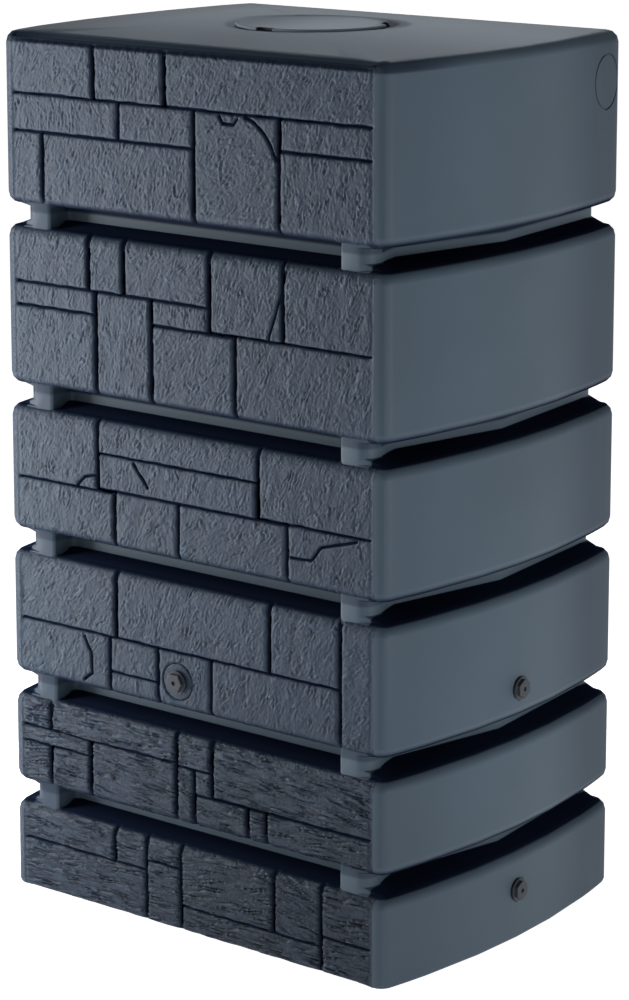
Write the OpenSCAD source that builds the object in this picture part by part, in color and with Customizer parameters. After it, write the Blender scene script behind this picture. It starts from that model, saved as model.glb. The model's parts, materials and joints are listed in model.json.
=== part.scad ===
// Slimline rainwater tank with a stone-effect front, made to stand against a wall.
// X runs along the stone front from left to right, Y from front to back, and Z up.
// The origin is under the middle of the whole box, on the ground.

/* [Body] */
// Width of the front, between its upright corners
front_w = 640; // [600:10:720]
// Depth from the stone front to the back
body_d = 520; // [480:10:600]
// Height from the ground to the crown of the top
body_h = 1200; // [1180:10:1300]
// How far each side bulges out at its middle
side_bulge = 29; // [20:1:36]
// Radius of the upright corners
corner_r = 20; // [18:1:26]
// Radius where the faces roll over into the grooves and the top
lip_r = 16; // [12:1:17]
// Radius round the foot of the tank
foot_r = 6; // [3:1:10]
// How much lower the top's edges lie than its middle
crown = 10; // [6:1:14]
// Thickness of the moulded wall
wall = 5; // [4:0.5:6]

/* [Grooves] */
// Height of the lowest groove's middle
low_groove_z = 136; // [125:1:150]
// From the crown down to the middle of the highest groove
top_groove_drop = 256; // [245:1:270]
// Share of the short band in the height between the lowest and the highest groove
short_share = 156; // [145:1:170]
// Share of each of the two middle bands in that height
middle_share = 203; // [190:1:215]
// Share of the tall band in that height
tall_share = 246; // [230:1:260]
// Clear height of a groove where its lips end
groove_h = 28; // [24:1:32]
// How much higher a groove's ledge lies at its inner end
ledge_rise = 7; // [4:0.5:9]
// How much lower a groove's roof lies at its inner end
roof_fall = 2; // [1:0.5:4]
// Depth of the front and back channels
channel_depth = 42; // [34:1:50]
// Distance from an upright corner to the end of a channel
channel_end = 76; // [72:1:90]
// Rounding in plan where a channel's back wall meets its end
channel_r = 12; // [8:1:14]
// How far a channel's end wall leans outwards
end_draft = 1.5; // [0.5:0.5:4]
// Rounding where a channel's end wall meets the post
end_round = 3; // [2:0.5:4]
// How far the front posts lie behind the bare front wall
post_recess = 2; // [1.5:0.5:4]
// How far the back posts lie behind the back
back_recess = 9; // [6:1:12]
// Width of a post's flat face
post_flat = 28; // [24:1:32]
// Radius of a post's outer edge
post_r = 18; // [12:1:20]
// Length of a post along the side, from the corner
post_side = 34; // [32:1:40]
// Distance from the corner to the end of the ramp behind a post
ramp_end = 79; // [70:1:90]
// Depth of a side groove at the end of its front ramp
side_depth_front = 58; // [48:1:64]
// Depth of a side groove at the middle of the side
side_depth_mid = 34; // [30:1:44]
// Depth of a side groove at the end of its back ramp
side_depth_back = 40; // [38:1:56]

/* [Stone front] */
// How far the stones stand out from the front wall
stone_rise = 5; // [3:0.5:7]
// Width of the joints between the stones
joint_w = 6; // [4:0.5:9]
// Width of the bevel round each stone
stone_bevel = 2.5; // [1:0.5:4]
// How deep the stones are rooted in the front wall
stone_root = 3; // [2:0.5:4]
// Deepest hollow in a stone's cleft face
cleft = 2; // [0.5:0.25:2.5]
// Size of the facets of a cleft face
facet = 75; // [60:5:120]
// Bare margin between the stones and the upright corners
stone_margin = 14; // [10:1:24]
// Bare margin between the stones and the lips
lip_margin = 8; // [4:1:12]

/* [Filling opening] */
// Inner diameter of the neck
neck_d = 180; // [160:2:190]
// Thickness of the neck's wall
neck_wall = 10; // [9:0.5:12]
// How far the neck hangs below its seat
neck_h = 22; // [18:1:30]
// Width of the shallow sloping dish round the lid
dish_w = 22; // [16:1:28]
// How far the dish's inner edge lies below the lid's rim
dish_depth = 5; // [3:0.5:6]
// Depth of the seat below the crown
seat_depth = 8; // [7:0.5:12]
// Width of the lid's rim outside its skirt
lid_rim = 12.5; // [11:0.5:15]
// Gap round the lid's rim
lid_clear = 1; // [0.5:0.1:2]
// Thickness of the lid's plate
lid_t = 4; // [3:0.5:5]
// How much higher the lid's middle is than its rim
lid_dome = 2.5; // [1:0.5:4]
// Bevel round the lid's rim
lid_bevel = 1.5; // [0.5:0.25:2]
// Depth of the shallow recess inside the lid's rim
recess = 1; // [0.5:0.25:1.5]
// Length of the slope down into that recess
recess_slope = 3; // [2:0.5:5]
// Wall of the lid's skirt
skirt_t = 4; // [3:0.5:5]
// Gap all round between the skirt and the neck
skirt_gap = 0.5; // [0.3:0.1:1]
// Number of locking lugs, which is also the number of finger notches
lug_count = 3; // [2:1:4]
// Angle taken up by each lug
lug_angle = 24; // [16:1:30]
// How far the lugs stand out from the skirt
lug_reach = 5; // [3:0.5:6]
// Height of the lugs
lug_h = 8; // [6:0.5:12]
// Gap over and beside the lugs
lug_gap = 1; // [0.5:0.1:1.5]
// Length of the finger notches in the lid's rim
notch_w = 27; // [20:1:34]
// Depth of the finger notches, measured inwards
notch_depth = 8; // [6:0.5:9]
// Thickness of the sealing ring
seal_t = 3; // [2:0.5:4]
// How far the lid's rim reaches past the sealing ring
seal_inset = 3.5; // [2:0.5:5]
// Gap above and below the sealing ring
seal_gap = 0.3; // [0.2:0.1:0.5]
// Gap between the sealing ring and the skirt
seal_clear = 1; // [0.5:0.1:1.5]

/* [Ports] */
// Height of the tap port and of the upper side ports
upper_port_z = 347; // [335:1:370]
// Height of the lower side ports
lower_port_z = 69; // [60:1:80]
// Place of the tap port along the front, from the middle
front_port_x = -20; // [-40:5:20]
// Diameter of the smooth pad round the tap port
pad_d = 48; // [44:1:60]
// Outer diameter of the threaded inserts
insert_d = 30; // [28:0.5:31]
// Bore of the threaded inserts
port_bore_d = 24.1; // [22:0.1:25]
// Diameter of the inserts' inner flange
insert_flange_d = 38; // [36:1:42]
// Thickness of the inserts' inner flange
insert_flange_t = 2; // [1.5:0.5:3]
// Outer diameter of the thickened boss round a port
boss_d = 46; // [44:1:56]
// Thickness of the wall at a boss
boss_t = 12; // [9:0.5:14]
// Depth of the flat that is faced into the bulging sides
spot_depth = 1.2; // [0.8:0.1:2]
// Clear ring of that flat round a plug's flange
spot_margin = 1.5; // [1:0.5:3]
// Radial gap between the plug's shank and its insert
plug_fit = 0.05; // [0.02:0.01:0.1]
// Length of the plug's shank behind its flange
plug_shank = 12; // [8:1:14]
// Diameter of the plug's flange
plug_flange_d = 31; // [29:0.5:34]
// Thickness of the plug's flange
plug_flange_t = 2.5; // [2:0.5:3]
// Size of the plug's hexagon across its flats
plug_hex = 23; // [20:0.5:25]
// Height of the plug's hexagon
plug_hex_t = 5; // [4:0.5:7]
// Diameter of the dimple in the hexagon
dimple_d = 6; // [4:0.5:10]
// Depth of the dimple
dimple_depth = 2.5; // [1:0.5:3.5]
// Thickness of the plug's washer
washer_t = 1.5; // [1:0.25:2]
// Outer diameter of the washer
washer_d = 30; // [28:0.5:31]
// Radial gap between the washer and the plug's shank
washer_gap = 0.3; // [0.2:0.05:0.5]

/* [Side markings] */
// Diameter of the ring that marks the link port
mark_d = 76; // [60:1:80]
// From the crown down to the ring's middle
mark_drop = 75; // [70:1:100]
// Distance from the ring's middle to the back corner
mark_from_back = 50; // [48:1:70]
// Width of the ring's groove
mark_w = 3; // [2:0.5:4]
// Depth of the ring's groove
mark_depth = 1.5; // [1:0.1:2.5]

/* [Hidden] */
$fn = 64;
// Height of what the tap port's plug adds in front of the stones
plug_stand = washer_t + plug_flange_t + plug_hex_t;
// The body's middle lies behind the origin by half of that
mid_y = plug_stand / 2;
half_w = front_w / 2;
half_d = body_d / 2;
side_r = (half_d * half_d + side_bulge * side_bulge) / (2 * side_bulge);
side_cx = half_w + side_bulge - side_r;
channel_x = half_w - channel_end;
// How far a cut runs past the face that it opens
over = 1;

high_groove_z = body_h - top_groove_drop;
share = (high_groove_z - low_groove_z) / (short_share + 2 * middle_share + tall_share);
groove_mids = [
    low_groove_z,
    low_groove_z + share * short_share,
    low_groove_z + share * (short_share + middle_share),
    high_groove_z - share * tall_share,
    high_groove_z
];
lip_steps = 3;
foot_steps = 2;
corner_steps = 4;
// Where the middle point of a channel's corner rounding lies, as a share of its radius
round_mid = 0.3;
// Where the middle point of the ramp lies, as a share of the way from its end to the post
ramp_mid = 0.42;
// Last point of the side before its middle, as a share of the half depth
side_station = 0.32;
// Size of the dome's inner ring, as a share of the top's plan
dome_share = 0.55;
// Stones of a band take their random seeds from this many numbers
band_seeds = 20;

seat_z = body_h - seat_depth;
lid_base_z = seat_z + seal_t + 2 * seal_gap;
neck_r = neck_d / 2;
skirt_r = neck_r - skirt_gap;
lid_r = skirt_r + lid_rim;
dish_r = lid_r + dish_w;
neck_foot_z = seat_z - neck_h;
lug_top_z = neck_foot_z - lug_gap;
first_lug = 270;

// Stones of each band, from the foot up, each as [left, right, bottom, top] in
// hundredths of the band's own stone panel
stones_1 = [
    [0, 28, 59, 100], [28, 37, 59, 100], [0, 37, 0, 59], [37, 47, 72, 100], [37, 47, 0, 72],
    [47, 73, 27, 100], [73, 86, 27, 100], [47, 86, 0, 27], [86, 100, 40, 100], [86, 100, 0, 40]
];
stones_2 = [
    [0, 9, 67, 100], [9, 46, 66, 100], [46, 56, 64, 100], [56, 100, 36, 100], [0, 21, 48, 67],
    [0, 9, 0, 48], [9, 21, 0, 48], [21, 46, 0, 66], [46, 51, 0, 64], [51, 56, 35, 64],
    [51, 66, 0, 35], [66, 71, 0, 35], [71, 100, 0, 36]
];
stones_3 = [
    [0, 29, 46, 100], [29, 72, 46, 100], [72, 91, 46, 100], [91, 100, 0, 100], [0, 27, 0, 46],
    [27, 41, 17, 46], [27, 41, 0, 17], [41, 56, 0, 46], [56, 91, 0, 46]
];
stones_4 = [
    [0, 24, 43, 100], [0, 29, 0, 43], [24, 69, 74, 100], [24, 69, 45, 74], [69, 100, 46, 100],
    [29, 47, 0, 45], [47, 77, 0, 45], [77, 100, 0, 46]
];
stones_5 = [
    [0, 22, 66, 100], [22, 32, 66, 100], [32, 56, 66, 100], [56, 76, 51, 100], [76, 100, 51, 100],
    [0, 24, 51, 66], [0, 24, 0, 51], [24, 40, 0, 66], [40, 56, 50, 66], [40, 63, 0, 50],
    [63, 100, 0, 51]
];
stones_6 = [
    [0, 24, 67, 100], [24, 44, 67, 100], [44, 100, 67, 100], [0, 31, 44, 67], [31, 52, 44, 67],
    [52, 75, 0, 67], [0, 9, 0, 44], [9, 52, 0, 44], [75, 100, 48, 67], [75, 100, 0, 48]
];
band_stones = [stones_1, stones_2, stones_3, stones_4, stones_5, stones_6];

// Every port as [name, middle of its seat, turn that takes Z to its outward direction]
side_seat_x = half_w + side_bulge - spot_depth;
PORTS = [
    ["tap_port", [front_port_x, -half_d, upper_port_z], [90, 0, 0]],
    ["right_upper_port", [side_seat_x, 0, upper_port_z], [0, 90, 0]],
    ["right_lower_port", [side_seat_x, 0, lower_port_z], [0, 90, 0]],
    ["left_upper_port", [-side_seat_x, 0, upper_port_z], [0, -90, 0]],
    ["left_lower_port", [-side_seat_x, 0, lower_port_z], [0, -90, 0]]
];

// Half width of the bulging side at the depth y, drawn in by inset
function side_x(y, inset = 0) = side_cx + sqrt(pow(side_r - inset, 2) - y * y);

// Middle of a corner rounding of radius r that touches the front and the side, both drawn in by inset
function corner_mid(inset, r) =
    let (y = -half_d + inset + r)
    [side_cx + sqrt(pow(side_r - inset - r, 2) - y * y), y];

// A corner rounding from the front to the side, as points
function corner_arc(inset, r) =
    let (m = corner_mid(inset, r), last = atan2(m[1], m[0] - side_cx))
    [for (k = [0:corner_steps]) let (a = -90 + (last + 90) * k / corner_steps) m + r * [cos(a), sin(a)]];

// Depths along the side at which the plan has a point, from the post to the middle
side_ys = [
    -half_d + post_side, -half_d + (post_side + ramp_end) / 2, -half_d + ramp_end,
    -half_d * side_station
];

// One quarter of the outer face in plan, from the channel's end round the corner to the middle of the side
function face_quarter(inset, rise) = concat(
    [for (x = [-channel_r, -channel_r * round_mid, 0, end_draft + end_round, 2 * end_round, post_flat])
        [channel_x + x, -half_d + rise + inset]],
    corner_arc(inset, corner_r - inset),
    [for (y = side_ys) [side_x(y, inset), y]]
);

// The same quarter at the bottom of a groove: channel, post, ramp and side groove
function groove_quarter(inset, recess, side_depth) =
    let (
        x = channel_x + inset,
        back = -half_d + channel_depth + inset,
        front = -half_d + recess + inset,
        post = [channel_x + post_flat, -half_d + recess + post_r],
        turn = 90 / (corner_steps + 1),
        post_x = post[0] + post_r - inset,
        end_y = -half_d + ramp_end,
        end_x = side_x(end_y) - side_depth - inset,
        mid_x = half_w + side_bulge - side_depth_mid - inset
    )
    concat(
        [
            [x - channel_r, back], [x - channel_r * round_mid, back - channel_r * round_mid],
            [x, back - channel_r], [x + end_draft, front + end_round], [x + 2 * end_round, front],
            [post[0], front]
        ],
        [for (k = [1:corner_steps + 1]) post + (post_r - inset) * [sin(turn * k), -cos(turn * k)]],
        [
            [post_x, side_ys[0]], [end_x + (post_x - end_x) * ramp_mid, side_ys[1]], [end_x, end_y],
            [end_x + (mid_x - end_x) * (side_ys[3] - end_y) / -end_y, side_ys[3]]
        ]
    );

function flip_x(points) = [for (i = [len(points) - 1:-1:0]) [-points[i][0], points[i][1]]];
function flip_y(points) = [for (i = [len(points) - 1:-1:0]) [points[i][0], -points[i][1]]];

// The whole plan from its front right quarter and its back right one, counter-clockwise
function plan(front, back, mid_x) =
    let (right = concat(front, [[mid_x, 0]], flip_y(back)))
    concat(right, flip_x(right));

// Plan of the faces, drawn in by inset. Only the front lies back by rise, to carry the stones.
function face_plan(inset, rise = stone_rise) =
    plan(face_quarter(inset, rise), face_quarter(inset, 0), half_w + side_bulge - inset);

function groove_plan(inset) =
    plan(
        groove_quarter(inset, stone_rise + post_recess, side_depth_front),
        groove_quarter(inset, back_recess, side_depth_back),
        half_w + side_bulge - side_depth_mid - inset
    );

// A ring round a lip, drawn in by depth, and cut short where the groove itself isn't as deep
function lip_ring(depth, z) =
    let (face = face_plan(0), edge = face_plan(depth), groove = groove_plan(0))
    [for (i = [0:len(face) - 1])
        let (p = norm(groove[i] - face[i]) > depth ? edge[i] : groove[i]) [p[0], p[1], z]];

// Rings round one groove. Its lips are quarter rounds, with a sloping ledge and roof between them.
function groove_rings(mid) = concat(
    [for (k = [0:lip_steps]) let (a = 90 * k / lip_steps)
        lip_ring(lip_r * (1 - cos(a)), mid - groove_h / 2 - lip_r * (1 - sin(a)))],
    [flat_ring(groove_plan(0), mid - groove_h / 2 + ledge_rise)],
    [flat_ring(groove_plan(0), mid + groove_h / 2 - roof_fall)],
    [for (k = [lip_steps:-1:0]) let (a = 90 * k / lip_steps)
        lip_ring(lip_r * (1 - cos(a)), mid + groove_h / 2 + lip_r * (1 - sin(a)))]
);

// Height of the pillow-shaped top over a point of the plan
top_x = half_w + side_bulge - lip_r;
top_y = half_d - lip_r;
function top_z(p) = body_h - crown * (1 - (1 - pow(p[0] / top_x, 2)) * (1 - pow(p[1] / top_y, 2)));

function flat_ring(points, z) = [for (p = points) [p[0], p[1], z]];

// Skin through a stack of rings with a fan at each end
module loft(rings, first_mid, last_mid) {
    n = len(rings[0]);
    m = len(rings);
    points = concat([for (r = rings) each r], [first_mid, last_mid]);
    walls = [for (j = [0:m - 2]) for (i = [0:n - 1])
        let (a = j * n + i, b = j * n + (i + 1) % n) each [[a, a + n, b + n], [a, b + n, b]]];
    foot = [for (i = [0:n - 1]) [m * n, i, (i + 1) % n]];
    head = [for (i = [0:n - 1]) [m * n + 1, (m - 1) * n + (i + 1) % n, (m - 1) * n + i]];
    polyhedron(points = points, faces = concat(walls, foot, head));
}

// Outer form of the moulding, without its stones
module outer_form() {
    inner = face_plan(lip_r);
    foot = [for (k = [0:foot_steps]) let (a = 90 * k / foot_steps)
        flat_ring(face_plan(foot_r * (1 - sin(a))), foot_r * (1 - cos(a)))];
    shoulder = [for (k = [0:lip_steps]) let (a = 90 * k / lip_steps, edge = face_plan(lip_r * (1 - cos(a))))
        [for (i = [0:len(edge) - 1]) [edge[i][0], edge[i][1], top_z(inner[i]) - lip_r * (1 - sin(a))]]];
    dome = [[for (p = inner) let (q = p * dome_share) [q[0], q[1], top_z(q)]]];
    grooves = [for (mid = groove_mids) each groove_rings(mid)];
    loft(concat(foot, grooves, shoulder, dome), [0, 0, 0], [0, 0, body_h]);
}

// Hollow inside, one wall in from the outer form
module inner_form() {
    face = face_plan(wall);
    groove = groove_plan(wall);
    roll = lip_r + groove_h / 2;
    roof = body_h - crown - wall;
    grooves = [for (mid = groove_mids) each [
        flat_ring(face, mid - roll), flat_ring(groove, mid - groove_h / 2 + ledge_rise - wall),
        flat_ring(groove, mid + groove_h / 2 - roof_fall + wall), flat_ring(face, mid + roll)
    ]];
    foot = [flat_ring(face_plan(wall + foot_r), wall), flat_ring(face, wall + foot_r)];
    head = [flat_ring(face, roof + wall - lip_r), flat_ring(face_plan(lip_r), roof)];
    loft(concat(foot, grooves, head), [0, 0, wall], [0, 0, body_h - wall]);
}

// One cleft stone between x0 and x1 and between z0 and z1, bevelled all round, on the front wall
module stone(x0, x1, z0, z1, seed) {
    cols = max(1, round((x1 - x0) / facet));
    rows = max(1, round((z1 - z0) / facet));
    hollow = rands(0, cleft, (cols + 1) * (rows + 1), seed);
    base_y = -half_d + stone_rise + stone_root;
    top = [for (j = [0:rows]) for (i = [0:cols]) [
        x0 + stone_bevel + (x1 - x0 - 2 * stone_bevel) * i / cols,
        -half_d + hollow[j * (cols + 1) + i],
        z0 + stone_bevel + (z1 - z0 - 2 * stone_bevel) * j / rows
    ]];
    rim = concat(
        [for (i = [0:cols - 1]) i],
        [for (j = [0:rows - 1]) j * (cols + 1) + cols],
        [for (i = [cols:-1:1]) rows * (cols + 1) + i],
        [for (j = [rows:-1:1]) j * (cols + 1)]
    );
    n = len(rim);
    t = len(top);
    // The foot of the bevel follows the rim, widened to the stone's full size
    function spread(p) = [
        x0 + (p[0] - x0 - stone_bevel) * (x1 - x0) / (x1 - x0 - 2 * stone_bevel),
        base_y,
        z0 + (p[2] - z0 - stone_bevel) * (z1 - z0) / (z1 - z0 - 2 * stone_bevel)
    ];
    face = [for (j = [0:rows - 1]) for (i = [0:cols - 1])
        let (a = j * (cols + 1) + i, b = a + 1, c = b + cols + 1, d = c - 1) each [[a, d, c], [a, c, b]]];
    edge = [for (k = [0:n - 1]) let (k2 = (k + 1) % n) each [
        [rim[k], rim[k2], t + k2], [rim[k], t + k2, t + k]
    ]];
    back = [for (k = [0:n - 1]) [t + n, t + k, t + (k + 1) % n]];
    polyhedron(
        points = concat(top, [for (k = rim) spread(top[k])], [[(x0 + x1) / 2, base_y, (z0 + z1) / 2]]),
        faces = concat(face, edge, back)
    );
}

// Bottom and top of the stone panel of each band
function panel_z(band) = [
    band == 0 ? foot_r : groove_mids[band - 1] + groove_h / 2 + lip_margin,
    band == len(groove_mids) ? body_h - crown - lip_margin : groove_mids[band] - groove_h / 2 - lip_margin
];

module stone_front() {
    left = -half_w + stone_margin;
    w = front_w - 2 * stone_margin;
    for (band = [0:len(groove_mids)]) {
        z = panel_z(band);
        for (i = [0:len(band_stones[band]) - 1]) {
            s = band_stones[band][i];
            stone(
                left + w * s[0] / 100 + joint_w / 2, left + w * s[1] / 100 - joint_w / 2,
                z[0] + (z[1] - z[0]) * s[2] / 100 + joint_w / 2,
                z[0] + (z[1] - z[0]) * s[3] / 100 - joint_w / 2,
                band * band_seeds + i
            );
        }
    }
}

// Puts its children on a port's seat, with Z pointing out of the tank
module at_port(port) {
    translate(port[1]) rotate(port[2]) children();
}

// Neck that hangs under the opening, and the shelf that it hangs from
module neck() {
    r = neck_r + neck_wall;
    shelf = dish_r + wall;
    rotate_extrude() polygon([
        [0, neck_foot_z], [r, neck_foot_z], [r, seat_z - 2 * wall], [shelf, seat_z - wall],
        [shelf, body_h], [0, body_h]
    ]);
}

// What is cut from the top: the dish, the lid's seat and the bore with its entries for the lugs
module opening() {
    lid_room = lid_r + lid_clear;
    dish_z = lid_base_z + lid_t - dish_depth;
    rotate_extrude() polygon([
        [0, seat_z], [lid_room, seat_z], [lid_room, dish_z], [dish_r, top_z([dish_r, 0])],
        [dish_r, body_h + wall], [0, body_h + wall]
    ]);
    translate([0, 0, neck_foot_z - wall]) cylinder(r = neck_r, h = neck_h + 2 * wall);
    translate([0, 0, neck_foot_z - wall])
        lug_sectors(skirt_r + lug_reach + lug_gap, neck_h + 2 * wall, lug_gap);
}

// Sectors that hold the lugs, each wider by gap on both sides
module lug_sectors(r, h, gap) {
    extra = gap * 180 / (PI * neck_r);
    for (k = [0:lug_count - 1])
        rotate([0, 0, first_lug + 360 * k / lug_count - lug_angle / 2 - extra])
            rotate_extrude(angle = lug_angle + 2 * extra)
                translate([neck_r - skirt_t, 0]) square([r - neck_r + skirt_t, h]);
}

// Ring groove that marks the link port on the side that sign names
module mark_ring(sign) {
    y = half_d - mark_from_back;
    turn = asin(y / side_r);
    translate([sign * side_x(y), y, body_h - mark_drop]) rotate([0, 90, 0]) rotate([-sign * turn, 0, 0])
        difference() {
            cylinder(d = mark_d, h = 2 * mark_depth, center = true);
            cylinder(d = mark_d - 2 * mark_w, h = 3 * mark_depth, center = true);
        }
}

module tank_body() {
    color("darkslategray") translate([0, mid_y, 0]) difference() {
        union() {
            outer_form();
            stone_front();
            at_port(PORTS[0]) translate([0, 0, -stone_rise - stone_root])
                cylinder(d = pad_d, h = stone_rise + stone_root);
        }
        difference() {
            inner_form();
            neck();
            for (p = PORTS) at_port(p) translate([0, 0, -boss_t]) cylinder(d = boss_d, h = boss_t);
        }
        opening();
        for (p = PORTS) at_port(p) {
            translate([0, 0, -boss_t - over]) cylinder(d = insert_d, h = boss_t + 2 * over);
            cylinder(d = plug_flange_d + 2 * spot_margin, h = spot_depth + over);
        }
        for (sign = [-1, 1]) mark_ring(sign);
    }
}

// Lid with a domed plate, a skirt that drops into the neck, locking lugs and finger notches
module lid() {
    top = lid_base_z + lid_t;
    skirt_foot_z = lug_top_z - lug_h;
    color("slategray") translate([0, mid_y, 0]) difference() {
        union() {
            rotate_extrude() polygon([
                [0, lid_base_z + lid_dome], [skirt_r - skirt_t, lid_base_z],
                [skirt_r - skirt_t, skirt_foot_z], [skirt_r, skirt_foot_z], [skirt_r, lid_base_z],
                [lid_r, lid_base_z], [lid_r, top - lid_bevel], [lid_r - lid_bevel, top], [skirt_r, top],
                [skirt_r - recess_slope, top - recess], [0, top + lid_dome]
            ]);
            translate([0, 0, skirt_foot_z]) lug_sectors(skirt_r + lug_reach, lug_h, 0);
        }
        for (k = [0:lug_count - 1]) rotate([0, 0, first_lug + 360 * k / lug_count])
            translate([lid_r - notch_depth, -notch_w / 2, lid_base_z - over])
                cube([notch_depth + over, notch_w, lid_t + 2 * over]);
    }
}

module lid_seal() {
    inner_r = skirt_r + seal_clear;
    color("black") translate([0, mid_y, seat_z + seal_gap]) difference() {
        cylinder(r = lid_r - seal_inset, h = seal_t);
        translate([0, 0, -over]) cylinder(r = inner_r, h = seal_t + 2 * over);
    }
}

// Threaded insert that lines a port, with its flange against the inside of the boss
module port_insert(port) {
    color("goldenrod") translate([0, mid_y, 0]) at_port(port) difference() {
        union() {
            translate([0, 0, -boss_t]) cylinder(d = insert_d, h = boss_t);
            translate([0, 0, -boss_t - insert_flange_t]) cylinder(d = insert_flange_d, h = insert_flange_t);
        }
        translate([0, 0, -boss_t - insert_flange_t - over])
            cylinder(d = port_bore_d, h = boss_t + insert_flange_t + 2 * over);
    }
}

// Blanking plug: shank in the insert, round flange, hexagon with a dimple
module port_plug(port) {
    color("dimgray") translate([0, mid_y, 0]) at_port(port) difference() {
        union() {
            translate([0, 0, washer_t - plug_shank]) cylinder(d = port_bore_d - 2 * plug_fit, h = plug_shank);
            translate([0, 0, washer_t]) cylinder(d = plug_flange_d, h = plug_flange_t);
            translate([0, 0, washer_t + plug_flange_t])
                cylinder(d = plug_hex / cos(30), h = plug_hex_t, $fn = 6);
        }
        translate([0, 0, plug_stand - dimple_depth]) cylinder(d = dimple_d, h = dimple_depth + over);
    }
}

module port_washer(port) {
    color("black") translate([0, mid_y, 0]) at_port(port) difference() {
        cylinder(d = washer_d, h = washer_t);
        translate([0, 0, -over]) cylinder(d = port_bore_d + 2 * washer_gap, h = washer_t + 2 * over);
    }
}

tank_body();
lid();
lid_seal();
for (p = PORTS) {
    port_insert(p);
    port_plug(p);
    port_washer(p);
}
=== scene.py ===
# %% [markdown]
# # A slimline rainwater tank with a stone front
#
# The tank is one hollow moulding in dark satin plastic. Five deep grooves belt it, a post stands
# in each groove at every corner, and the front carries six panels of cleft stone. A round lid
# closes the top, and small hexagon plugs close the threaded ports.
#
# The exact solids come from the CAD frame. This lesson dresses them: it gives the skin smooth
# shading, makes the cleft stone as real relief, and builds each finish from nodes.

import json
import math

import bmesh
import bpy
import numpy as np
from mathutils import Matrix, Vector

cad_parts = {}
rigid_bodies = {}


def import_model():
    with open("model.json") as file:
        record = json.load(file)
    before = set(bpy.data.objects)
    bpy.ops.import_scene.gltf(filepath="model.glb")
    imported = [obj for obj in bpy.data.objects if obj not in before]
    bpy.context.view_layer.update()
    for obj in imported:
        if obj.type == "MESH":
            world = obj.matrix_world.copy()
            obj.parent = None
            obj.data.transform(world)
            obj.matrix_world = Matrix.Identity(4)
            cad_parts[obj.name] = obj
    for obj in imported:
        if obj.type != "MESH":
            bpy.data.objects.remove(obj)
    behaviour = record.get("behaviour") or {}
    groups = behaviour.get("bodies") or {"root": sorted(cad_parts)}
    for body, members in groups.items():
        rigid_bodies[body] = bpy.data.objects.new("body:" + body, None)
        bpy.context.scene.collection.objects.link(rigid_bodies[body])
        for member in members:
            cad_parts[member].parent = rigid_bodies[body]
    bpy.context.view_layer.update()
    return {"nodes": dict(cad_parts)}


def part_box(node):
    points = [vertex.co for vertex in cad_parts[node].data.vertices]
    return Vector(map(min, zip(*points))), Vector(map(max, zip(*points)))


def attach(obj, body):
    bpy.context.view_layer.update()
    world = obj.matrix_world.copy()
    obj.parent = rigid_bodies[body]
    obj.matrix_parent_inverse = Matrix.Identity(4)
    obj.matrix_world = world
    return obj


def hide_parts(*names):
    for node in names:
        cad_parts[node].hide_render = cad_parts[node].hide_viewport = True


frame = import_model()
nodes = frame["nodes"]
MM = 0.001
low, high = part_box("tank_body")
MID_Y = (low.y + high.y) / 2
HALF_D = (high.y - low.y) / 2
HALF_W = high.x
HEIGHT = high.z
print(f"{len(nodes)} nodes, body {2 * HALF_W:.3f} x {2 * HALF_D:.3f} x {HEIGHT:.3f} m")

# %% [markdown]
# ## The camera
#
# The photograph looks down a little on the near right corner. Its focal length, turn, tilt and
# distance were worked out from the tank's upright edges, its foot and its grooves. The picture
# was cut out of a larger one, so the camera's middle lies above the picture's middle. A vertical
# shift of the lens says this, as the front standard of a view camera does.

# %% Set up the camera
PICTURE_H = 1000
FOCAL_PX = 3262
YAW = math.radians(38.50)
PITCH = math.radians(10.79)
DISTANCE = 4.444
SIDESTEP = 0.0031
RISE = 0.1906
SHIFT_PX = -178
AIM_Z = 0.6
SENSOR = 36

forward = Vector(
    (-math.sin(YAW) * math.cos(PITCH), math.cos(YAW) * math.cos(PITCH), -math.sin(PITCH))
)
right = Vector((math.cos(YAW), math.sin(YAW), 0))
up = right.cross(forward)
camera_data = bpy.data.cameras.new("photo_camera")
camera_data.sensor_width = SENSOR
camera_data.lens = SENSOR * FOCAL_PX / PICTURE_H
camera_data.shift_y = SHIFT_PX / PICTURE_H
camera_data.clip_end = 60
camera = bpy.data.objects.new("photo_camera", camera_data)
bpy.context.scene.collection.objects.link(camera)
place = Vector((0, MID_Y, AIM_Z)) - forward * DISTANCE + right * SIDESTEP + up * RISE
turn = Matrix((right, up, -forward)).transposed()
camera.matrix_world = Matrix.Translation(place) @ turn.to_4x4()
bpy.context.scene.camera = camera
print(f"lens {camera_data.lens:.1f} mm, camera {place.z:.2f} m above the ground")

# %% [markdown]
# ## The studio
#
# Product pictures of dark plastic are lit by soft sources, so that the faces read as broad even
# tones. Here a pale floor runs far out, and the sky glows only near the horizon. A tall strip
# lamp stands close to the left of the front, so its light falls off along the stones and grazes
# their ridges. A wide lamp on the far right lights the bulged side, and a bluish one high up
# behind the tank lights the top.

# %% Light the studio
HORIZON = 0.9
ZENITH = 0.15
GLOW_TOP = 0.28
FLOOR_SIZE = 60

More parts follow.
